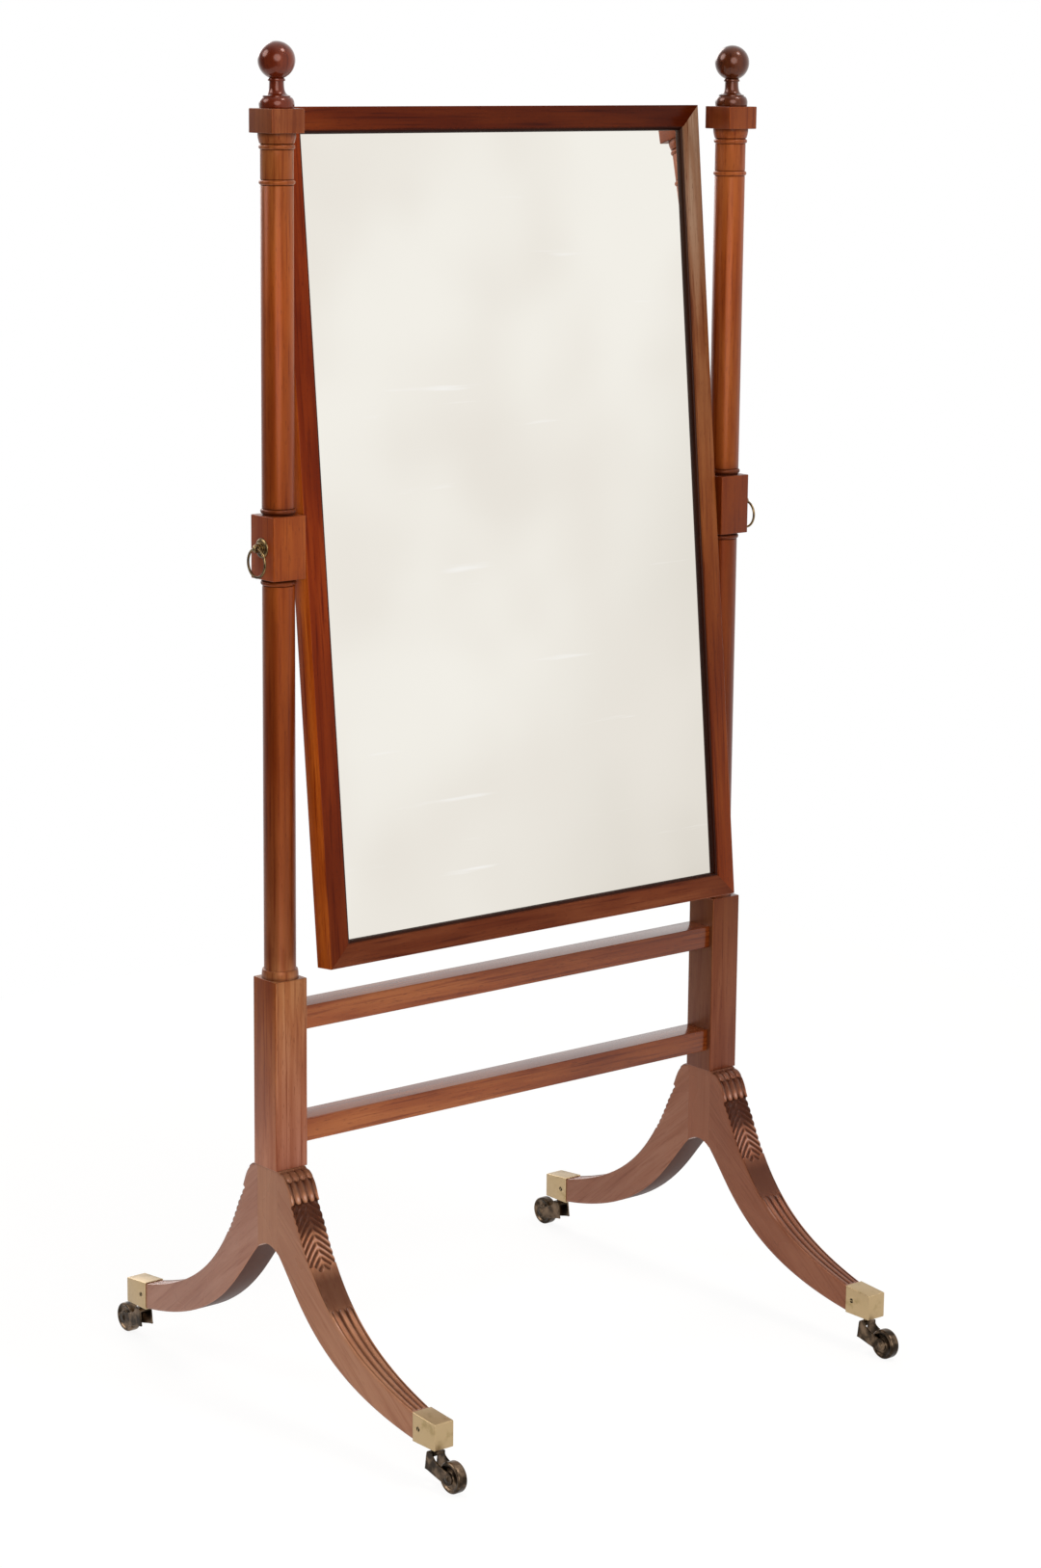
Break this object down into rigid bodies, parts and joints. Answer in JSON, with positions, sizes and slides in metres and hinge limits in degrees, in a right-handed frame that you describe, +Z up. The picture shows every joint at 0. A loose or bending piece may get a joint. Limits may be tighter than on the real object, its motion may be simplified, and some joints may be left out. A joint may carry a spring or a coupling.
{
  "type": "cheval mirror",
  "caption": "Tall tilting dressing mirror in a mahogany frame, hung by clamp screws between turned posts on carved sabre legs with brass casters.",
  "frame": {"origin": "on the floor, under the middle of the glass, midway between the two posts and between the front and back legs", "axes": "+Z up, -Y the way the glass faces (front), +X to the right as one faces the glass"},
  "size_m": [0.765, 0.697, 1.6],
  "materials": {
    "mahogany": "french polished mahogany, straight grain along each piece",
    "backboard_wood": "thin unpolished board, dry and brown with age",
    "softwood": "bare sawn softwood",
    "silvered_glass": "silvered plate glass, slightly warm",
    "fittings_brass": "turned brass, worn and mellow",
    "caster_brass": "cast brass, rubbed bright on top and darker in the corners",
    "wheel_brass": "cast brass gone dark brown from the floor"
  },
  "bodies": {
    "stand": {"left_post": "mahogany", "right_post": "mahogany", "left_finial": "mahogany", "right_finial": "mahogany", "upper_stretcher": "mahogany", "lower_stretcher": "mahogany", "leg_front_left": "mahogany", "leg_front_right": "mahogany", "leg_back_left": "mahogany", "leg_back_right": "mahogany", "toe_cap_front_left": "caster_brass", "toe_cap_front_right": "caster_brass", "toe_cap_back_left": "caster_brass", "toe_cap_back_right": "caster_brass", "toe_cap_screws": "caster_brass", "left_bush": "fittings_brass", "right_bush": "fittings_brass", "left_washer": "fittings_brass", "right_washer": "fittings_brass"},
    "mirror": {"top_rail": "mahogany", "bottom_rail": "mahogany", "left_stile": "mahogany", "right_stile": "mahogany", "mirror_glass": "silvered_glass", "glazing_blocks": "softwood", "backboard": "backboard_wood", "backboard_screws": "fittings_brass", "left_pivot_plate": "fittings_brass", "right_pivot_plate": "fittings_brass", "pivot_plate_screws": "fittings_brass"},
    "left_clamp": {"left_clamp_screw": "fittings_brass"},
    "right_clamp": {"right_clamp_screw": "fittings_brass"},
    "left_ring": {"left_ring_pull": "fittings_brass"},
    "right_ring": {"right_ring_pull": "fittings_brass"},
    "caster_front_left": {"horn_front_left": "caster_brass", "axle_front_left": "caster_brass"},
    "wheel_front_left": {"wheel_front_left": "wheel_brass"},
    "caster_front_right": {"horn_front_right": "caster_brass", "axle_front_right": "caster_brass"},
    "wheel_front_right": {"wheel_front_right": "wheel_brass"},
    "caster_back_left": {"horn_back_left": "caster_brass", "axle_back_left": "caster_brass"},
    "wheel_back_left": {"wheel_back_left": "wheel_brass"},
    "caster_back_right": {"horn_back_right": "caster_brass", "axle_back_right": "caster_brass"},
    "wheel_back_right": {"wheel_back_right": "wheel_brass"}
  },
  "joints": [
    {"name": "mirror_tilt", "type": "hinge", "parent": "stand", "child": "mirror", "pos_m": [0, 0, 1.0365], "axis": [1, 0, 0], "continuous": true},
    {"name": "left_clamp_turn", "type": "hinge", "parent": "stand", "child": "left_clamp", "pos_m": [-0.3655, 0, 1.0365], "axis": [-1, 0, 0], "range_deg": [0, 360]},
    {"name": "left_ring_swing", "type": "hinge", "parent": "left_clamp", "child": "left_ring", "pos_m": [-0.3735, 0, 1.0365], "axis": [0, 1, 0], "range_deg": [-8, 188]},
    {"name": "right_clamp_turn", "type": "hinge", "parent": "stand", "child": "right_clamp", "pos_m": [0.3655, 0, 1.0365], "axis": [1, 0, 0], "range_deg": [0, 360]},
    {"name": "right_ring_swing", "type": "hinge", "parent": "right_clamp", "child": "right_ring", "pos_m": [0.3815, 0, 1.0365], "axis": [0, -1, 0], "range_deg": [-8, 188]},
    {"name": "caster_front_left_swivel", "type": "hinge", "parent": "stand", "child": "caster_front_left", "pos_m": [-0.343, -0.298, 0.042], "axis": [0, 0, 1], "continuous": true},
    {"name": "wheel_front_left_roll", "type": "hinge", "parent": "caster_front_left", "child": "wheel_front_left", "pos_m": [-0.343, -0.33, 0.0185], "axis": [1, 0, 0], "continuous": true},
    {"name": "caster_front_right_swivel", "type": "hinge", "parent": "stand", "child": "caster_front_right", "pos_m": [0.343, -0.298, 0.042], "axis": [0, 0, 1], "continuous": true},
    {"name": "wheel_front_right_roll", "type": "hinge", "parent": "caster_front_right", "child": "wheel_front_right", "pos_m": [0.343, -0.33, 0.0185], "axis": [1, 0, 0], "continuous": true},
    {"name": "caster_back_left_swivel", "type": "hinge", "parent": "stand", "child": "caster_back_left", "pos_m": [-0.343, 0.298, 0.042], "axis": [0, 0, 1], "continuous": true},
    {"name": "wheel_back_left_roll", "type": "hinge", "parent": "caster_back_left", "child": "wheel_back_left", "pos_m": [-0.343, 0.33, 0.0185], "axis": [1, 0, 0], "continuous": true},
    {"name": "caster_back_right_swivel", "type": "hinge", "parent": "stand", "child": "caster_back_right", "pos_m": [0.343, 0.298, 0.042], "axis": [0, 0, 1], "continuous": true},
    {"name": "wheel_back_right_roll", "type": "hinge", "parent": "caster_back_right", "child": "wheel_back_right", "pos_m": [0.343, 0.33, 0.0185], "axis": [1, 0, 0], "continuous": true}
  ]
}
